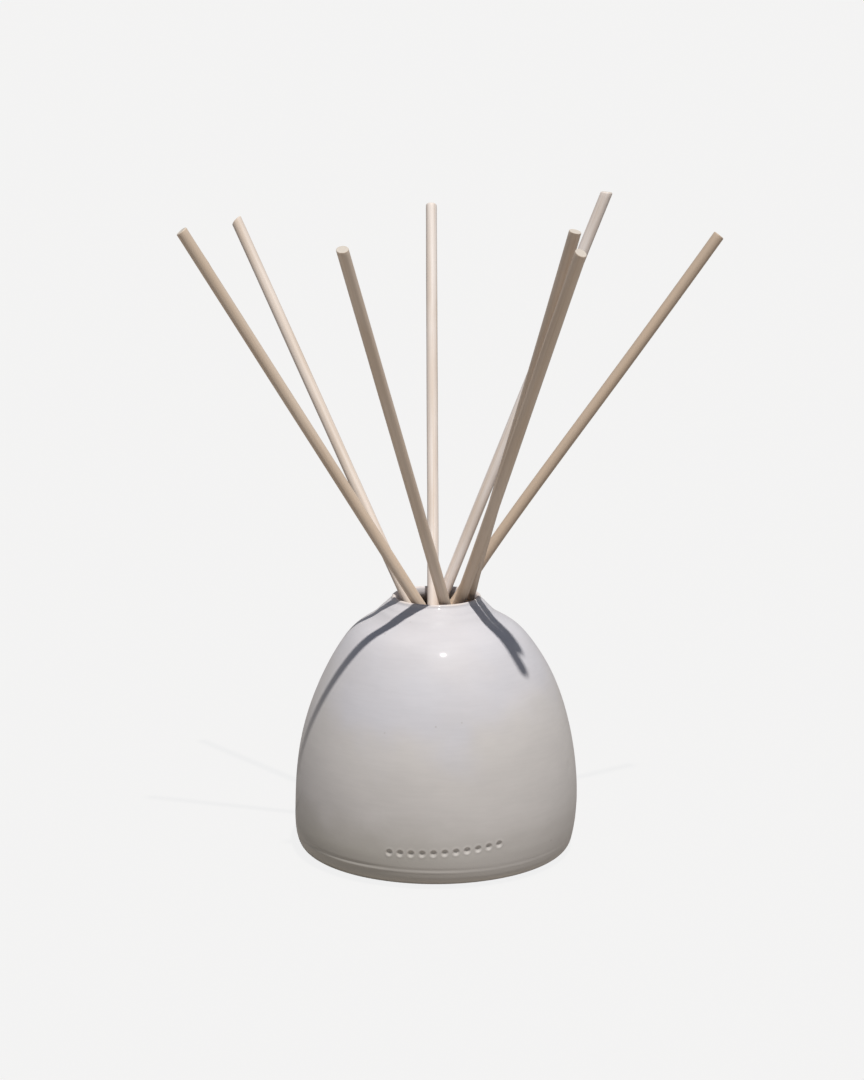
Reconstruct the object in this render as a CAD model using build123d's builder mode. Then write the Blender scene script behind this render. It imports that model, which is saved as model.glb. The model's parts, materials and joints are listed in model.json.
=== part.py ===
"""Reed diffuser: a thrown ceramic vessel, its charge of fragrance oil, and eight loose wooden reeds.

Units are millimetres and +Z is up. The origin is the centre of the foot's resting face.
The vessel is one turned and fired piece: a flat foot with a rounded heel, a bellied wall that leans
in to a domed shoulder, and a short mouth that flares down from a thin rounded lip. It is written as
two solids that meet at its waist, so that the hollow inside stays open in simulation. The reeds stand
in the oil, cross over each other in the mouth and fan out above it. Each one lifts out along its own
axis.
"""
import os

from build123d import *

# ---- Vessel, outside: radius and height of each ring that shapes the wall ----
foot_radius = 41.0
heel_radius = 47.4
heel_height = 3.4
belly_radius = 49.0
belly_height = 15.4
waist_radius = 42.9
waist_height = 54.5
shoulder_radius = 33.4
shoulder_height = 73.0
dome_radius = 27.0
dome_height = 80.0
crown_radius = 19.8
crown_height = 85.0
collar_radius = 17.2
collar_height = 87.7
lip_radius = 15.1
lip_round = 0.75
vessel_height = 90.2

# ---- Vessel, inside ----
floor_thickness = 4.8
inner_foot_radius = 38.5
inner_belly_radius = 45.0
inner_belly_height = 16.5
inner_waist_radius = 39.0
inner_waist_height = 54.0
inner_shoulder_radius = 30.2
inner_shoulder_height = 71.5
inner_dome_radius = 22.0
inner_dome_height = 80.4
inner_crown_radius = 14.2
inner_crown_height = 86.2
throat_radius = 13.4
throat_height = 88.4

# ---- Oil ----
oil_height = 38.0
oil_clearance = 0.08

# ---- Reeds ----
reed_diameter = 4.0
reed_length = 238.0
reed_edge_round = 0.2

# Each reed's axis runs from the centre of its lower end, inside the vessel, through the point where
# it crosses the mouth at crossing height: (lower end x, y, z), (mouth x, y).
crossing_height = 89.2
reed_lines = [
    ((37.5, 2.5, 16.0), (-6.1, -7.8)),
    ((27.0, -32.5, 13.0), (-9.9, -1.7)),
    ((-1.0, -38.5, 6.5), (-1.3, 5.6)),
    ((21.5, 30.5, 14.0), (2.9, -9.2)),
    ((-5.5, 38.0, 19.0), (11.1, 0.6)),
    ((-12.5, 36.5, 17.0), (8.0, -4.1)),
    ((-30.0, 5.0, 6.5), (3.0, 9.9)),
    ((-41.5, -0.5, 19.0), (8.5, 5.7)),
]

lip_middle = lip_radius - lip_round


def draw_inner_wall():
    """The inner face from the rim of the flat inside floor up to the lip, for the pot and the oil."""
    corner = Spline(
        (inner_foot_radius, floor_thickness),
        (inner_belly_radius, inner_belly_height),
        tangents=[(1, 0), (0, 1)],
    )
    Spline(
        corner @ 1,
        (inner_waist_radius, inner_waist_height),
        (inner_shoulder_radius, inner_shoulder_height),
        (inner_dome_radius, inner_dome_height),
        (inner_crown_radius, inner_crown_height),
        (throat_radius, throat_height),
        tangents=[(0, 1), (0, 1)],
    )


def draw_vessel():
    """Half of the vessel's cross-section, from the middle of the foot round to the middle of the floor."""
    foot = Line((0, 0), (foot_radius, 0))
    heel = Spline(foot @ 1, (heel_radius, heel_height), tangents=[(1, 0.4), (0.35, 1)])
    outer_wall = Spline(
        heel @ 1,
        (belly_radius, belly_height),
        (waist_radius, waist_height),
        (shoulder_radius, shoulder_height),
        (dome_radius, dome_height),
        (crown_radius, crown_height),
        (collar_radius, collar_height),
        (lip_radius, vessel_height - lip_round),
        tangents=[(0.35, 1), (-0.4, 1)],
    )
    lip = ThreePointArc(
        outer_wall @ 1,
        (lip_middle, vessel_height),
        (lip_middle - lip_round, vessel_height - lip_round),
    )
    Line(lip @ 1, (throat_radius, throat_height))
    draw_inner_wall()
    inner_floor = Line((inner_foot_radius, floor_thickness), (0, floor_thickness))
    Line(inner_floor @ 1, foot @ 0)


waist_plane = Plane.XY.offset(waist_height)

# The vessel below its waist: floor, heel and belly.
with BuildPart() as vessel_base:
    with BuildSketch(Plane.XZ):
        with BuildLine():
            draw_vessel()
        make_face()
    revolve(axis=Axis.Z)
    split(bisect_by=waist_plane, keep=Keep.BOTTOM)
vessel_base.part.label = "vessel_base"

# The vessel above its waist: shoulder, dome and mouth.
with BuildPart() as vessel_shoulder:
    with BuildSketch(Plane.XZ):
        with BuildLine():
            draw_vessel()
        make_face()
    revolve(axis=Axis.Z)
    split(bisect_by=waist_plane, keep=Keep.TOP)
vessel_shoulder.part.label = "vessel_shoulder"


def reed_plane(lower_end, mouth_point):
    """The plane of a reed's lower end face, with its normal along the reed."""
    start = Vector(*lower_end)
    crossing = Vector(*mouth_point, crossing_height)
    return Plane(origin=start, z_dir=crossing - start)


reed_planes = [reed_plane(lower_end, mouth_point) for lower_end, mouth_point in reed_lines]

# The reeds: plain round dowels with a worn edge at each end.
reeds = []
for number, plane in enumerate(reed_planes, start=1):
    with BuildPart() as reed:
        with BuildSketch(plane):
            Circle(reed_diameter / 2)
        extrude(amount=reed_length)
        fillet(reed.edges().filter_by(GeomType.CIRCLE), reed_edge_round)
    reed.part.label = f"reed_{number}"
    reeds.append(reed.part)

# The oil: it fills the vessel up to its level and leaves room for the reeds that stand in it.
with BuildPart() as fragrance_oil:
    with BuildSketch(Plane.XZ):
        with BuildLine():
            draw_inner_wall()
            Polyline(
                (throat_radius, throat_height),
                (0, throat_height),
                (0, floor_thickness),
                (inner_foot_radius, floor_thickness),
            )
        make_face()
    revolve(axis=Axis.Z)
    split(bisect_by=Plane.XY.offset(oil_height), keep=Keep.BOTTOM)
    for plane in reed_planes:
        with BuildSketch(plane.offset(-oil_clearance)):
            Circle(reed_diameter / 2 + oil_clearance)
        extrude(amount=reed_length, mode=Mode.SUBTRACT)
fragrance_oil.part.label = "fragrance_oil"

os.makedirs("parts", exist_ok=True)
for piece in [vessel_base.part, vessel_shoulder.part, fragrance_oil.part, *reeds]:
    export_step(piece, f"parts/{piece.label}.step")
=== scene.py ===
"""Looks for the reed diffuser: a glazed, wheel-thrown vessel and eight wooden reeds.

Units are metres, in the CAD model's own frame: +Z up, the origin at the centre of the foot, -Y the
side with the pressed dots. Every shape starts from the frame: the vessel's section is read off its
CAD nodes, and each reed's axis and length come from its joint and its CAD node.
"""
import json
import math

import bmesh
import bpy
from mathutils import Matrix, Vector, noise
from mathutils.bvhtree import BVHTree


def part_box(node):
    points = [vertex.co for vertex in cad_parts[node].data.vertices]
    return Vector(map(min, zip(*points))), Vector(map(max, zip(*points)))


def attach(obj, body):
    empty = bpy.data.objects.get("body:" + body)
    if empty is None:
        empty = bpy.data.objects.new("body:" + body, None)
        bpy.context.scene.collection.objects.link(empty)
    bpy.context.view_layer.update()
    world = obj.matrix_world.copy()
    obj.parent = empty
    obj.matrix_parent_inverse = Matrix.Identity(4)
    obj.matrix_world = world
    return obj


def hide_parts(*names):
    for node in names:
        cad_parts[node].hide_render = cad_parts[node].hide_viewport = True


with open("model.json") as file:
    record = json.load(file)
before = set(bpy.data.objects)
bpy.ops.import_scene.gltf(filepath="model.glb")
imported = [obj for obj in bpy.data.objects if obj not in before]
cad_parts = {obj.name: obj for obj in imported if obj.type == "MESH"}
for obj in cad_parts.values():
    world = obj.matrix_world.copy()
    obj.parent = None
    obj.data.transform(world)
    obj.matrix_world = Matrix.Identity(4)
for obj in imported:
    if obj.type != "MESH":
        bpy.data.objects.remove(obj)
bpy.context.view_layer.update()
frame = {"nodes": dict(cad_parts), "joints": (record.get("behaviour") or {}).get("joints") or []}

MM = 0.001
DEG = math.pi / 180

# ---------------------------------------------------------------- camera
CAMERA_DISTANCE = 1.0          # from the vessel's axis to the lens, along +Y
CAMERA_HEIGHT = 0.3364
CAMERA_SIDE = -0.00154         # the vessel stands a little to the right of the picture's middle
CAMERA_PITCH = 12.78           # degrees below the horizon
LENS = 99.82                   # for a 36 mm long side

camera_data = bpy.data.cameras.new("camera")
camera_data.sensor_width = 36.0
camera_data.lens = LENS
camera_data.clip_start = 0.01
camera_data.clip_end = 100.0
camera = bpy.data.objects.new("camera", camera_data)
camera.location = (CAMERA_SIDE, -CAMERA_DISTANCE, CAMERA_HEIGHT)
camera.rotation_euler = ((90 - CAMERA_PITCH) * DEG, 0, 0)
bpy.context.collection.objects.link(camera)
scene = bpy.context.scene
scene.camera = camera
scene.view_settings.view_transform = "Standard"
scene.view_settings.look = "None"
scene.view_settings.exposure = 0
scene.view_settings.gamma = 1


# ---------------------------------------------------------------- node helpers
class Nodes:
    """Short calls for building a node tree."""

    def __init__(self, tree):
        self.tree = tree

    def add(self, kind, inputs=(), **settings):
        node = self.tree.nodes.new(kind)
        for key, value in settings.items():
            setattr(node, key, value)
        for key, value in dict(inputs).items():
            self.put(node.inputs[key], value)
        return node

    def put(self, socket, value):
        if isinstance(value, bpy.types.NodeSocket):
            self.tree.links.new(value, socket)
        elif isinstance(value, bpy.types.Node):
            self.tree.links.new(value.outputs[0], socket)
        else:
            socket.default_value = value

    def math(self, operation, *values, clamp=False):
        node = self.add("ShaderNodeMath", operation=operation, use_clamp=clamp)
        for socket, value in zip(node.inputs, values):
            self.put(socket, value)
        return node.outputs[0]

    def span(self, value, low, high, to_low=0.0, to_high=1.0, smooth=True):
        """value mapped from low..high to to_low..to_high, held flat outside."""
        node = self.add(
            "ShaderNodeMapRange",
            {0: value, 1: low, 2: high, 3: to_low, 4: to_high},
            interpolation_type="SMOOTHSTEP" if smooth else "LINEAR",
        )
        return node.outputs[0]

    def mix(self, factor, first, second, blend="MIX"):
        node = self.add("ShaderNodeMix", data_type="RGBA", blend_type=blend)
        self.put(node.inputs[0], factor)
        self.put(node.inputs[6], first)
        self.put(node.inputs[7], second)
        return node.outputs[2]

    def noise(self, vector, scale, detail=2.0, roughness=0.5, distortion=0.0):
        node = self.add(
            "ShaderNodeTexNoise",
            {
                "Vector": vector,
                "Scale": scale,
                "Detail": detail,
                "Roughness": roughness,
                "Distortion": distortion,
            },
        )
        return node.outputs[0]

    def stretch(self, vector, x, y, z):
        """The vector scaled on each axis: under 1, a pattern in it is drawn out that way."""
        node = self.add("ShaderNodeMapping", {"Vector": vector, "Scale": (x, y, z)})
        return node.outputs[0]

    def grey(self, value):
        """A number as a colour, for multiplying a colour by it."""
        node = self.add("ShaderNodeCombineColor", {0: value, 1: value, 2: value})
        return node.outputs[0]

    def bump(self, height, distance, strength):
        inputs = {"Height": height, "Distance": distance, "Strength": strength}
        return self.add("ShaderNodeBump", inputs).outputs[0]


def new_material(name):
    material = bpy.data.materials.new(name)
    material.use_nodes = True
    material.node_tree.nodes.clear()
    nodes = Nodes(material.node_tree)
    output = nodes.add("ShaderNodeOutputMaterial")
    return material, nodes, output


def rgb(red, green, blue):
    """An sRGB colour given in 0..255, as the linear RGBA that shaders take."""
    values = []
    for channel in (red, green, blue):
        c = channel / 255
        values.append(c / 12.92 if c <= 0.04045 else ((c + 0.055) / 1.055) ** 2.4)
    return (*values, 1.0)


# ---------------------------------------------------------------- stage: floor, sky and sun
PALE = rgb(243, 243, 243)
SUN_ELEVATION = 68.9           # degrees above the horizon
SUN_AZIMUTH = 15.4             # degrees to the right of the camera, seen from the vessel
SUN_STRENGTH = 3.45
SUN_WIDTH = 0.9                # degrees across, so shadow edges soften a little
FLOOR_ALBEDO = rgb(163, 157, 150)
FLOOR_REACH = 40.0             # from the middle to each side
FLOOR_DROP = 0.05 * MM         # just under the foot
FLOOR_EVENNESS = 0.9           # how far the floor hides shadows from the camera
FLOOR_GLOW = 1.064             # brings the floor that the camera sees to the backdrop's tone
SKY_TOP = (0.118, 0.147, 0.21, 1)
SKY_LOW = (0.105, 0.117, 0.135, 1)
SKY_BEHIND = (0.36, 0.37, 0.39, 1)   # a soft fill from behind the vessel, for its shaded side

floor_mesh = bpy.data.meshes.new("floor")
floor_corners = [(FLOOR_REACH * x, FLOOR_REACH * y, 0) for x, y in ((-1, -1), (1, -1), (1, 1), (-1, 1))]
floor_mesh.from_pydata(floor_corners, [], [(0, 1, 2, 3)])
floor = bpy.data.objects.new("floor", floor_mesh)
bpy.context.collection.objects.link(floor)
floor.location.z = -FLOOR_DROP
material, n, output = new_material("floor_paint")
paint = n.add("ShaderNodeBsdfDiffuse", {"Color": FLOOR_ALBEDO})
even = n.add("ShaderNodeEmission", {"Color": PALE, "Strength": FLOOR_GLOW})
path = n.add("ShaderNodeLightPath")
share = n.math("MULTIPLY", path.outputs["Is Camera Ray"], FLOOR_EVENNESS)
floor_mix = n.add("ShaderNodeMixShader", {0: share, 1: paint, 2: even})
n.put(output.inputs["Surface"], floor_mix)
# the glow is for the camera only, so it isn't sampled as a lamp
material.cycles.emission_sampling = "NONE"
floor_mesh.materials.append(material)

world = bpy.data.worlds.new("sky")
scene.world = world
world.use_nodes = True
world.node_tree.nodes.clear()
n = Nodes(world.node_tree)
direction = n.add("ShaderNodeTexCoord").outputs["Generated"]
toward = n.add("ShaderNodeSeparateXYZ", {0: direction})
sky = n.mix(n.span(toward.outputs["Z"], 0.0, 0.9), SKY_LOW, SKY_TOP)
sky = n.mix(n.span(toward.outputs["Y"], 0.35, 0.95), sky, SKY_BEHIND)
seen = n.add("ShaderNodeLightPath").outputs["Is Camera Ray"]
backdrop = n.add("ShaderNodeBackground", {"Color": n.mix(seen, sky, PALE), "Strength": 1.0})
n.put(n.add("ShaderNodeOutputWorld").inputs["Surface"], backdrop)

sun_data = bpy.data.lights.new("sun", "SUN")
sun_data.energy = SUN_STRENGTH
sun_data.angle = SUN_WIDTH * DEG
sun_data.color = (1.0, 0.985, 0.96)
sun = bpy.data.objects.new("sun", sun_data)
sun.rotation_euler = ((90 - SUN_ELEVATION) * DEG, 0, SUN_AZIMUTH * DEG)
bpy.context.collection.objects.link(sun)

# ---------------------------------------------------------------- the vessel's section, off the CAD
VESSEL_NODES = ("vessel_base", "vessel_shoulder")
vessel_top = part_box("vessel_shoulder")[1].z


def cad_tree(names):
    """One tree for rays against several CAD nodes."""
    vertices, faces = [], []
    for name in names:
        mesh = frame["nodes"][name].data
        offset = len(vertices)
        vertices += [vertex.co.copy() for vertex in mesh.vertices]
        faces += [tuple(offset + i for i in polygon.vertices) for polygon in mesh.polygons]
    return BVHTree.FromPolygons(vertices, faces)


tree = cad_tree(VESSEL_NODES)


def radius_at(z, outside):
    """Mean radius of the wall's outer or inner face at height z, over a few directions."""
    total, count = 0.0, 0
    for turn in range(12):
        angle = (turn + 0.5) * math.tau / 12
        ray = Vector((math.cos(angle), math.sin(angle), 0))
        if outside:
            hit = tree.ray_cast(ray * 0.2 + Vector((0, 0, z)), -ray)[0]
        else:
            hit = tree.ray_cast(Vector((0, 0, z)), ray)[0]
        if hit is not None:
            total += math.hypot(hit.x, hit.y)
            count += 1
    return total / count if count else None


inside_floor = tree.ray_cast(Vector((0.004, 0.003, vessel_top + 0.01)), Vector((0, 0, -1)))[0]
floor_height = inside_floor.z


def even_points(points, step):
    """The same line with points spaced by step(z) along it."""
    spaced = [points[0]]
    along, last = 0.0, points[0]
    for point in points[1:]:
        gap = math.hypot(point[0] - last[0], point[1] - last[1])
        while gap > 0 and along + gap >= step(last[1]):
            part = (step(last[1]) - along) / gap
            last = (last[0] + (point[0] - last[0]) * part, last[1] + (point[1] - last[1]) * part)
            spaced.append(last)
            gap = math.hypot(point[0] - last[0], point[1] - last[1])
            along = 0.0
        along += gap
        last = point
    return spaced


def smoothed(points, rounds):
    """The same line with its small corners evened out. Its two ends stay."""
    for _ in range(rounds):
        inner = [
            ((a[0] + 2 * b[0] + c[0]) / 4, (a[1] + 2 * b[1] + c[1]) / 4)
            for a, b, c in zip(points, points[1:], points[2:])
        ]
        points = [points[0], *inner, points[-1]]
    return points


def section_step(z):
    """Spacing of points along the section: fine where the dots, the foot line and the lip are."""
    if z > vessel_top - 1.4 * MM:
        return 0.14 * MM
    if z > vessel_top - 8 * MM:
        return 0.3 * MM
    if 4 * MM < z < 19 * MM:
        return 0.3 * MM
    return 0.8 * MM


def inner_step(z):
    """Spacing of points along the inner face: fine near the lip."""
    return 0.3 * MM if z > vessel_top - 6 * MM else 1.3 * MM


def read_section():
    """The outer and the inner line of the wall, each from the bottom up, as (radius, height)."""
    outer, inner = [], []
    steps = 1200
    for i in range(steps + 1):
        z = 0.03 * MM + (vessel_top - 0.05 * MM) * i / steps
        r = radius_at(z, True)
        if r is not None:
            outer.append((r, z))
        if z > floor_height + 0.03 * MM:
            r = radius_at(z, False)
            if r is not None:
                inner.append((r, z))
    return outer, inner


outer_line, inner_line = read_section()
foot_radius = outer_line[0][0]
inner_floor_radius = inner_line[0][0]
lip_middle = (outer_line[-1][0] + inner_line[-1][0]) / 2
outer_line = smoothed(even_points([*outer_line, (lip_middle, vessel_top)], section_step), 3)
inner_line = smoothed(even_points([*inner_line, (lip_middle, vessel_top)], inner_step), 2)

# One closed section: foot centre, foot, outer wall, lip, inner wall, floor.
section = []
for part in (0.0, 0.25, 0.5, 0.75, 0.93):
    section.append((foot_radius * part, 0.0, "foot"))
section += [(r, z, "outer") for r, z in outer_line[:-1]]
section.append((lip_middle, vessel_top, "lip"))
section += [(r, z, "inner") for r, z in reversed(inner_line[:-1])]
for part in (0.96, 0.85, 0.65, 0.4, 0.15, 0.0):
    section.append((inner_floor_radius * part, floor_height, "floor"))

# ---------------------------------------------------------------- relief of the thrown wall
# Angles round the vessel (theta) run from -Y towards +X.
RING_RELIEF = 0.018 * MM                   # the throwing rings
RING_RISE = 2.1 * MM                       # from one ring to the next, roughly
SWELL_RELIEF = 0.13 * MM                   # slow unevenness of the whole wall
SKIN_RELIEF = 0.003 * MM                   # fine lines in the glaze
COLLAR_RIDGE = 88.3 * MM                   # the wall swells a little under the lip,
COLLAR_DIP = 87.2 * MM                     # with a shallow throwing groove below
TRIM_HEIGHT = 6.3 * MM                     # the line that the trimming tool left above the foot
TRIM_RELIEF = 0.13 * MM
TRIM_FRONT = -32 * DEG                     # where that line is cut deepest
DOT_COUNT = 11
DOT_FIRST, DOT_LAST = -18.6, 25.6          # degrees
DOT_RADIUS = 1.2 * MM
DOT_DEPTH = 0.5 * MM
DOT_RIM = 0.07 * MM                        # clay pushed up round each dot
DOTS = []
for number in range(DOT_COUNT):
    part = number / (DOT_COUNT - 1)
    angle = DOT_FIRST + (DOT_LAST - DOT_FIRST) * part
    DOTS.append((angle * DEG, (12.9 + 0.3 * part + 1.9 * part ** 2.2) * MM))


def bell(value, middle, width):
    return math.exp(-(((value - middle) / width) ** 2))


def around(theta, z, turns, rise):
    """A point for noise that closes on itself once round the vessel."""
    return Vector((math.cos(theta) * turns, math.sin(theta) * turns, z / rise))


def wall_relief(theta, r, z):
    """How far the outer face stands proud of the turned section, in metres."""
    # nothing at the foot's edge and at the lip, and calmer rings on the dome than on the belly
    fade = min(1.0, z / (6 * MM)) * min(1.0, max(0.0, (vessel_top - z) / (5 * MM)))
    calm = 1 - 0.8 * min(1.0, max(0.0, (z - 62 * MM) / (14 * MM)))
    rings = noise.noise(around(theta, z, 0.35, RING_RISE) + Vector((3, 1, 8)))
    strength = 0.5 + 0.9 * noise.noise(around(theta, z, 0.8, 13 * MM) + Vector((7, 3, 1)))
    out = RING_RELIEF * rings * max(0.1, strength) * fade * calm
    out += SWELL_RELIEF * noise.noise(around(theta, z, 0.9, 30 * MM) + Vector((2, 9, 4))) * fade
    out += SKIN_RELIEF * noise.noise(around(theta, z, 1.4, 0.9 * MM)) * fade * calm
    out += 0.2 * MM * bell(z, COLLAR_RIDGE, 0.7 * MM) - 0.36 * MM * bell(z, COLLAR_DIP, 1.2 * MM)
    # the trimming line, which wanders up and down: a groove with a thin raised lip under it
    line = TRIM_HEIGHT + 0.5 * MM * noise.noise(around(theta, 0, 1.3, 1))
    line -= 0.4 * MM * math.sin(theta - 0.4)
    hold = 0.16 + 0.84 * bell(theta, TRIM_FRONT, 40 * DEG)
    hold *= 0.75 + 0.6 * noise.noise(around(theta, 0, 2.4, 1) + Vector((5, 5, 5)))
    out += TRIM_RELIEF * hold * bell(z, line, 0.42 * MM)
    out -= TRIM_RELIEF * hold * bell(z, line + 0.95 * MM, 0.5 * MM)
    # the row of pressed dots
    if 9 * MM < z < 19 * MM and DOT_FIRST * DEG - 0.06 < theta < DOT_LAST * DEG + 0.06:
        for dot_theta, dot_z in DOTS:
            far = math.hypot((theta - dot_theta) * r, z - dot_z) / DOT_RADIUS
            if far < 1.75:
                if far < 1:
                    out -= DOT_DEPTH * (1 - far * far) ** 1.2
                out += DOT_RIM * bell(far, 1.15, 0.28)
    # small flaws in the glaze: a pit with a blister over it to the right, and a pit to the left
    out -= 0.22 * MM * bell((theta - 71 * DEG) * r, 0, 0.8 * MM) * bell(z, 33.4 * MM, 1.7 * MM)
    out += 0.12 * MM * bell((theta - 69 * DEG) * r, 0, 0.7 * MM) * bell(z, 36.2 * MM, 1.3 * MM)
    out -= 0.2 * MM * bell((theta + 77 * DEG) * r, 0, 0.9 * MM) * bell(z, 29.6 * MM, 0.7 * MM)
    return out


def wall_shift(z):
    """How far the wall's middle is off to +X at height z: thrown clay isn't quite true."""
    shift = 0.45 * bell(z, 62 * MM, 14 * MM) - 0.55 * bell(z, 6 * MM, 9 * MM)
    shift -= 0.35 * bell(z, 85 * MM, 4 * MM)
    return shift * MM


def lip_share(z, side):
    """How much of the lip's unevenness reaches a ring: all at the very top, none 5 mm lower."""
    if side in ("outer", "lip", "inner"):
        return max(0.0, 1 - (vessel_top - z) / (5 * MM))
    return 0.0


def vessel_angles():
    """Angles round the vessel, close together where the dots are."""
    angles, theta = [], -180.0
    while theta < 180 - 1e-6:
        angles.append(theta * DEG)
        theta += 0.3 if DOT_FIRST - 4 <= theta < DOT_LAST + 4 else 1.5
    return angles


def link_mesh(name, bm):
    """A smooth-shaded object from a bmesh, in the scene."""
    mesh = bpy.data.meshes.new(name)
    bm.normal_update()
    bm.to_mesh(mesh)
    bm.free()
    mesh.polygons.foreach_set("use_smooth", [True] * len(mesh.polygons))
    obj = bpy.data.objects.new(name, mesh)
    bpy.context.collection.objects.link(obj)
    return obj


def skin(bm, rows):
    """Quads between rings of vertices; a ring of one vertex closes the end with triangles."""
    for below, above in zip(rows, rows[1:]):
        count = max(len(below), len(above))
        for i in range(count):
            j = (i + 1) % count
            if len(below) == 1:
                bm.faces.new((below[0], above[j], above[i]))
            elif len(above) == 1:
                bm.faces.new((below[i], below[j], above[0]))
            else:
                bm.faces.new((below[i], below[j], above[j], above[i]))


def build_vessel():
    """The whole pot as one mesh: the section turned about Z, with its relief, shift and uneven lip."""
    bm = bmesh.new()
    angles = vessel_angles()
    rows = []
    for index, (r, z, side) in enumerate(section):
        if r < 1e-6:
            rows.append([bm.verts.new((0, 0, z))])
            continue
        before = section[max(0, index - 1)]
        after = section[min(len(section) - 1, index + 1)]
        slope = Vector((after[0] - before[0], after[1] - before[1]))
        slope.normalize()
        out_r, out_z = slope.y, -slope.x
        near_lip = lip_share(z, side)
        shift = wall_shift(z) if side == "outer" else (wall_shift(0) if side == "foot" else 0.0)
        ring = []
        for theta in angles:
            relief = wall_relief(theta, r, z) if side == "outer" else 0.0
            rr, zz = r + out_r * relief, z + out_z * relief
            zz += near_lip * MM * (0.07 * math.sin(3 * theta + 2.0) - 0.1 * math.cos(2 * theta))
            rr -= near_lip * 0.3 * MM * math.cos(2 * theta)
            x, y = rr * math.sin(theta) + shift, -rr * math.cos(theta)
            ring.append(bm.verts.new((x, y, max(0.0, zz))))
        rows.append(ring)
    skin(bm, rows)
    return link_mesh("glazed_vessel", bm)


vessel = build_vessel()
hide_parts(*VESSEL_NODES)
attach(vessel, "pot")

# ---------------------------------------------------------------- glaze
GLAZE = rgb(211, 207, 208)
GLAZE_COOL = rgb(208, 207, 212)
GLAZE_LOW_PAINTED_LIGHT = rgb(211, 206, 202)
FOOT_GLAZE = rgb(184, 179, 169)
RIM_GLAZE = rgb(228, 214, 203)
SPECK = rgb(142, 128, 112)
BARE_CLAY = rgb(158, 138, 116)


def glaze_material():
    """A pale glaze, cooler on the dome and warmer below as painted light, thin and browner towards the
    foot.
    """
    material, n, output = new_material("glaze")
    place = n.add("ShaderNodeTexCoord").outputs["Object"]
    axes = n.add("ShaderNodeSeparateXYZ", {0: place})
    x, z = axes.outputs["X"], axes.outputs["Z"]
    slow = n.noise(place, 32.0, 2.0, 0.5)
    slow_b = n.noise(n.stretch(place, 1, 1, 1.6), 55.0, 3.0, 0.55)
    streak = n.noise(n.stretch(place, 0.12, 0.12, 1), 900.0, 3.0, 0.6)
    rise = n.math("ADD", z, n.span(slow, 0.3, 0.7, -12 * MM, 12 * MM))
    colour = n.mix(n.span(slow, 0.4, 0.7, 0.0, 0.5), GLAZE, GLAZE_COOL)
    # painted light: warmer low on the wall and cooler on the dome, for the warm bounce from below and
    # the cool sky above
    colour = n.mix(n.span(rise, 68 * MM, 40 * MM), colour, GLAZE_LOW_PAINTED_LIGHT)
    cloudy = n.span(slow_b, 0.3, 0.7, 0.975, 1.015)
    shade = n.math("ADD", cloudy, n.span(streak, 0.3, 0.7, -0.012, 0.012))
    colour = n.mix(1.0, colour, n.grey(shade), "MULTIPLY")
    # thin glaze low on the wall lets the olive-brown clay through, more on the -X side, away from the
    # sun, where the extra darkening is painted shade
    ragged = n.math("ADD", z, n.span(slow_b, 0.3, 0.7, -2.5 * MM, 2.5 * MM, smooth=False))
    thin = n.span(ragged, 27 * MM, 10 * MM)
    # painted shade: the darker foot colour reaches further on the -X side, away from the sun
    side = n.span(x, 0.03, -0.045, 0.25, 0.85)
    colour = n.mix(n.math("MULTIPLY", thin, side), colour, FOOT_GLAZE)
    band = n.span(n.math("ADD", z, n.span(slow, 0.3, 0.7, -0.5 * MM, 0.5 * MM)), 6.4 * MM, 5.2 * MM)
    colour = n.mix(n.math("MULTIPLY", band, 0.15), colour, FOOT_GLAZE)
    # small iron specks
    inputs = {"Vector": place, "Scale": 230.0, "Randomness": 1.0}
    cells = n.add("ShaderNodeTexVoronoi", inputs, feature="F1")
    chosen = n.add("ShaderNodeSeparateColor", {0: cells.outputs["Color"]}).outputs[0]
    dot = n.span(cells.outputs["Distance"], 0.13, 0.03)
    speck = n.math("MULTIPLY", dot, n.math("GREATER_THAN", chosen, 0.93))
    colour = n.mix(n.math("MULTIPLY", speck, 0.3), colour, SPECK)
    # the rim where the glaze runs thin, then the bare foot
    rim_noise = n.noise(n.stretch(place, 1, 1, 0.4), 260.0, 2.0, 0.6)
    rim_height = n.math("ADD", z, n.span(rim_noise, 0.3, 0.7, -0.22 * MM, 0.22 * MM))
    rim = n.math("MULTIPLY", n.span(rim_height, vessel_top - 0.7 * MM, vessel_top), 0.6)
    colour = n.mix(rim, colour, RIM_GLAZE)
    bare_height = n.math("ADD", z, n.span(slow_b, 0.3, 0.7, -0.25 * MM, 0.25 * MM))
    bare = n.span(bare_height, 1.0 * MM, 0.6 * MM)
    colour = n.mix(bare, colour, BARE_CLAY)
    fine = n.noise(place, 1100.0, 2.0, 0.6)
    soft = n.noise(place, 260.0, 2.0, 0.5)
    relief = n.math("ADD", n.math("MULTIPLY", fine, 0.12), soft)
    relief = n.math("SUBTRACT", relief, n.math("MULTIPLY", speck, 0.3))
    rough = n.math("ADD", n.span(slow_b, 0.3, 0.7, 0.4, 0.5), n.math("MULTIPLY", bare, 0.4))
    shader = n.add(
        "ShaderNodeBsdfPrincipled",
        {
            "Base Color": colour,
            "Roughness": rough,
            "IOR": 1.5,
            "Specular IOR Level": 0.12,
            "Coat Roughness": 0.08,
            "Coat IOR": 1.5,
            "Coat Weight": n.span(bare, 0.0, 1.0, 0.23, 0.0),
            "Normal": n.bump(relief, 0.02 * MM, 0.2),
        },
    )
    n.put(output.inputs["Surface"], shader)
    return material


vessel.data.materials.append(glaze_material())

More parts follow.
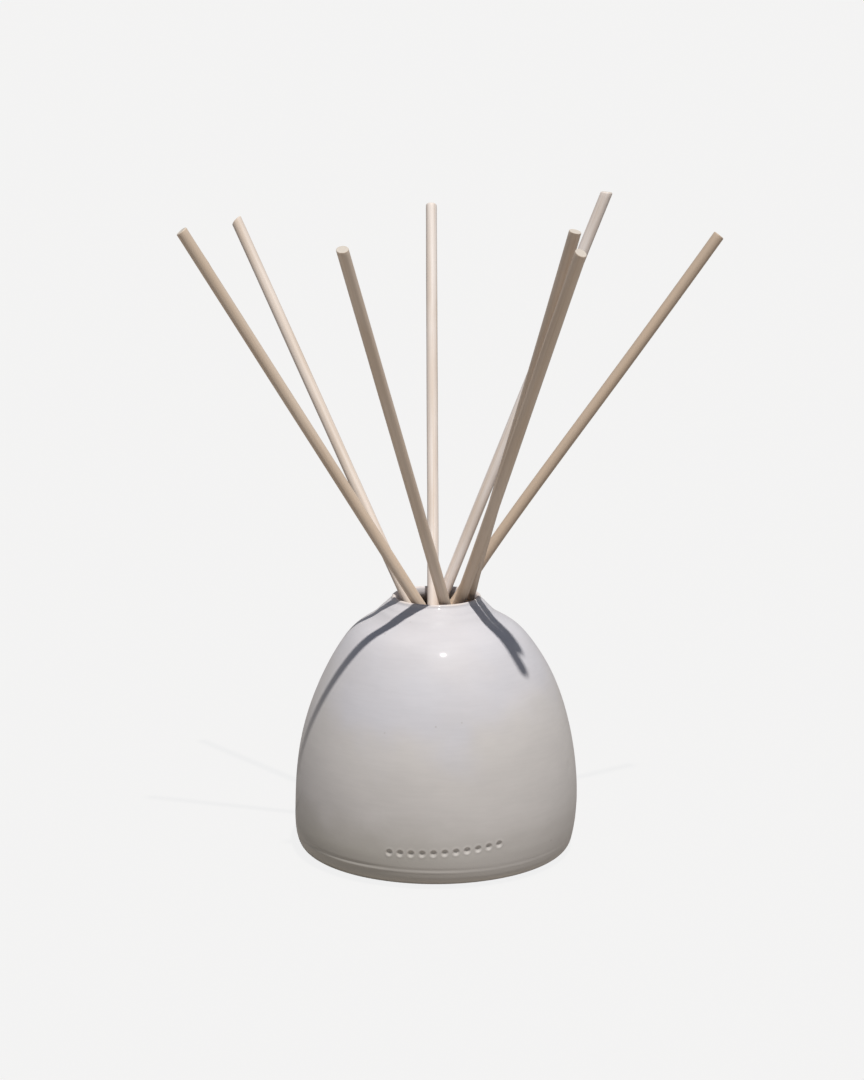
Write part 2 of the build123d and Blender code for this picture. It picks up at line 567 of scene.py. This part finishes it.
# ---------------------------------------------------------------- oil
def oil_material():
    """Amber fragrance oil."""
    material, n, output = new_material("oil")
    place = n.add("ShaderNodeTexCoord").outputs["Object"]
    cloud = n.noise(place, 60.0, 2.0, 0.5)
    shader = n.add(
        "ShaderNodeBsdfPrincipled",
        {
            "Base Color": n.mix(cloud, rgb(214, 178, 98), rgb(196, 152, 74)),
            "Roughness": 0.04,
            "IOR": 1.46,
            "Transmission Weight": 0.35,
        },
    )
    n.put(output.inputs["Surface"], shader)
    return material


oil = frame["nodes"]["fragrance_oil"]
oil.data.materials.clear()
oil.data.materials.append(oil_material())

# ---------------------------------------------------------------- reeds
REED_SIDES = 36
REED_STEP = 2.0 * MM
# how far each reed bends to +X above the mouth, in mm
BOWS = (0.0, -0.1, 0.15, 0.1, -0.5, 0.35, -0.1, -1.1)
BOW_START = 0.36               # the part of a reed's length below which it is straight
CUT_REACH = 5 * MM             # how far down from the end the cut's slant fades out
# how each upper end was cut: slant in degrees, the side (x, y) that is lower, worn edge in mm
CUTS = (
    (7, (-1, 0), 0.4),
    (22, (-1, 0), 0.5),
    (2, (1, 0), 0.75),
    (8, (1, 0), 0.3),
    (16, (0, 1), 0.3),
    (9, (1, 0), 0.3),
    (15, (-1, 0), 0.6),
    (3, (1, 0), 0.4),
)
LOWER_EDGE = 0.3 * MM
OWN_PLACE = "place_on_reed"    # mesh attribute: coordinates with Z along the reed, for its grain
KNOT = {1: (0.2245, 95 * DEG)}                 # reed: (distance along it, angle round it)
joint_of = {joint["child"]: joint for joint in frame["joints"]}


def reed_axis(node):
    """Lower end, direction, length and radius of a reed, from its slide joint and its CAD node."""
    along = Vector(joint_of[node]["axis"]).normalized()
    low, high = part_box(node)
    middle = (low + high) / 2
    from_middle = [vertex.co - middle for vertex in frame["nodes"][node].data.vertices]
    reach = [offset.dot(along) for offset in from_middle]
    wide = max((offset - along * d).length for offset, d in zip(from_middle, reach))
    return middle + along * min(reach), along, max(reach) - min(reach), wide


def rounded_end(edge, radius):
    """Points of a worn edge, as (how far short of the end, radius), from the flat to the side."""
    points = []
    for step in range(6):
        angle = 18 * step * DEG
        points.append((edge * (1 - math.cos(angle)), radius - edge * (1 - math.sin(angle))))
    return points


def build_reed(number):
    """One dowel: slightly uneven and bent, with a slanted upper end and worn edges."""
    name = f"reed_{number}"
    start, along, length, radius = reed_axis(name)
    stand = Matrix.Translation(start) @ along.to_track_quat("Z", "Y").to_matrix().to_4x4()
    seed = Vector((number * 3.7, number * 1.9, number * 5.3))
    bow = BOWS[number - 1] * MM
    slant, low_side, edge_mm = CUTS[number - 1]
    edge = edge_mm * MM
    to_own = stand.to_3x3().inverted()

    def own_side(x, y):
        """A sideways direction of the CAD frame, as a unit vector across the reed."""
        turned = to_own @ Vector((x, y, 0))
        return Vector((turned.x, turned.y)).normalized()

    bow_side = own_side(1, 0)
    lower_side = own_side(*low_side)
    knot_at, knot_angle = KNOT.get(number, (None, 0))
    skin_radius = radius * 0.985
    bm = bmesh.new()

    def ring(t, r, dip=0.0):
        """A ring of vertices at t along the reed, r wide; dip scales its unevenness along the reed."""
        bare = min(1.0, max(0.0, (t - BOW_START * length) / ((1 - BOW_START) * length)))
        side = bow_side * (bow * math.sin(math.pi * bare ** 0.45) ** 2)
        cut = max(0.0, 1 - (length - t) / CUT_REACH) * math.tan(slant * DEG)
        vertices = []
        for i in range(REED_SIDES):
            angle = math.tau * i / REED_SIDES
            c, s = math.cos(angle), math.sin(angle)
            relief = 0.030 * MM * noise.noise(Vector((c * 2.6, s * 2.6, t * 28)) + seed)
            relief += 0.018 * MM * noise.noise(Vector((c * 6.5, s * 6.5, t * 70)) + seed)
            relief += 0.022 * MM * noise.noise(Vector((c * 0.7, s * 0.7, t * 45)) + seed)
            if knot_at is not None:
                turn = (angle - knot_angle + math.pi) % math.tau - math.pi
                far = math.hypot(turn * radius, t - knot_at)
                relief += 0.11 * MM * bell(far, 0.9 * MM, 0.45 * MM)
                relief -= 0.16 * MM * bell(far, 0, 0.5 * MM)
            share = r / radius
            rr = r + relief * share
            rough = noise.noise(Vector((c * share * 2.2, s * share * 2.2, t * 9)) + seed)
            drop = dip * (0.6 + 1.6 * rough)
            drop -= cut * (radius + rr * (c * lower_side.x + s * lower_side.y))
            vertices.append(bm.verts.new((rr * c + side.x, rr * s + side.y, t + drop)))
        return vertices

    rows = [[bm.verts.new((0, 0, 0.05 * MM))]]
    for share in (0.25, 0.5, 0.72):
        rows.append(ring(0.0, radius * share, 0.05 * MM))
    for short, r in rounded_end(LOWER_EDGE, skin_radius):
        rows.append(ring(short, r))
    steps = round(length / REED_STEP)
    for step in range(1, steps):
        t = length * step / steps
        if t < length - edge - 0.3 * MM:
            rows.append(ring(t, skin_radius))
    for short, r in reversed(rounded_end(edge, skin_radius)):
        rows.append(ring(length - short, r))
    for share in (0.72, 0.5, 0.25):
        rows.append(ring(length, (skin_radius - edge) * share / 0.8, -0.06 * MM))
    rows.append([bm.verts.new((0, 0, length - 0.05 * MM - radius * math.tan(slant * DEG)))])
    skin(bm, list(reversed(rows)))
    bmesh.ops.recalc_face_normals(bm, faces=bm.faces)
    obj = link_mesh(f"{name}_dowel", bm)
    place = obj.data.attributes.new(OWN_PLACE, "FLOAT_VECTOR", "POINT")
    place.data.foreach_set("vector", [value for vertex in obj.data.vertices for value in vertex.co])
    obj.matrix_world = stand
    return obj


WOOD = rgb(226, 207, 187)
WOOD_DARK = rgb(206, 182, 157)
# the next two colours are painted light: the pale one paints sunlight on a reed, the brown one paints
# shade
WOOD_PAINTED_SUNLIT = rgb(244, 235, 229)
WOOD_PAINTED_SHADE = rgb(186, 164, 142)
WOOD_END = rgb(208, 198, 185)
WOOD_PORE = rgb(178, 152, 126)
# each reed's tone paints light and shade: 0 is plain wood, 1 the palest (painted sunlight on the sunlit
# reeds), -1 the brownest (painted shade on the shaded reeds)
PAINTED_LIGHT_TONES = (-0.15, 0.5, 0.75, 0.1, 0.1, 0.1, 1.0, -0.7)


def end_material():
    """The cut ends: open pores in end grain."""
    material, n, output = new_material("reed_end")
    place = n.add("ShaderNodeTexCoord").outputs["Object"]
    grain = n.noise(place, 2400.0, 3.0, 0.7)
    colour = n.mix(n.span(grain, 0.5, 0.75, 0.0, 0.25), WOOD_END, WOOD_PORE)
    shader = n.add(
        "ShaderNodeBsdfPrincipled",
        {"Base Color": colour, "Roughness": 0.8, "Normal": n.bump(grain, 0.05 * MM, 0.3)},
    )
    n.put(output.inputs["Surface"], shader)
    return material


def wood_material(number, painted_light):
    """Pale straight-grained wood, with its own stretch of grain for each reed, made paler by painted
    sunlight or browner by painted shade.
    """
    material, n, output = new_material(f"reed_wood_{number}")
    place = n.add("ShaderNodeAttribute", attribute_name=OWN_PLACE).outputs["Vector"]
    own_part = (number * 0.37, number * 0.21, number * 0.53)
    own = n.add("ShaderNodeVectorMath", {0: place, 1: own_part}, operation="ADD").outputs[0]
    grain = n.noise(n.stretch(own, 1, 1, 0.012), 1100.0, 2.0, 0.55, 0.1)
    fibre = n.noise(n.stretch(own, 1, 1, 0.015), 2000.0, 1.0, 0.5)
    flute = n.noise(n.stretch(own, 1, 1, 0.02), 420.0, 1.0, 0.5)
    patch = n.noise(n.stretch(own, 1, 1, 0.14), 240.0, 2.0, 0.5)
    # painted light: the tone makes the reed's wood paler for painted sunlight or browner for painted
    # shade
    base = n.mix(abs(painted_light), WOOD, WOOD_PAINTED_SUNLIT if painted_light > 0 else WOOD_PAINTED_SHADE)
    colour = n.mix(n.span(patch, 0.35, 0.7, 0.0, 0.35), base, WOOD_DARK)
    colour = n.mix(n.span(grain, 0.42, 0.72, 0.0, 0.4), colour, WOOD_DARK)
    pores = n.math("MULTIPLY", n.span(fibre, 0.58, 0.75), n.span(grain, 0.4, 0.6))
    colour = n.mix(n.math("MULTIPLY", pores, 0.2), colour, WOOD_PORE)
    knot_at, knot_angle = KNOT.get(number, (None, 0))
    if knot_at is not None:
        spot = (2 * MM * math.cos(knot_angle), 2 * MM * math.sin(knot_angle), knot_at)
        away = n.add("ShaderNodeVectorMath", {0: place, 1: spot}, operation="DISTANCE")
        far = away.outputs["Value"]
        colour = n.mix(n.span(far, 1.3 * MM, 0.5 * MM, 0.0, 0.6), colour, WOOD_PORE)
    shader = n.add(
        "ShaderNodeBsdfPrincipled",
        {
            "Base Color": colour,
            "Roughness": n.span(grain, 0.3, 0.7, 0.5, 0.62),
            "IOR": 1.5,
            "Specular IOR Level": 0.6,
            "Normal": n.bump(flute, 0.03 * MM, 0.2),
        },
    )
    n.put(output.inputs["Surface"], shader)
    return material


cut_end = end_material()
for number in range(1, 9):
    reed = build_reed(number)
    reed.data.materials.append(wood_material(number, PAINTED_LIGHT_TONES[number - 1]))
    reed.data.materials.append(cut_end)
    # faces that look along the reed are its cut ends
    for polygon in reed.data.polygons:
        polygon.material_index = 1 if abs(polygon.normal.z) > 0.75 else 0
    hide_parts(f"reed_{number}")
    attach(reed, f"reed_{number}")
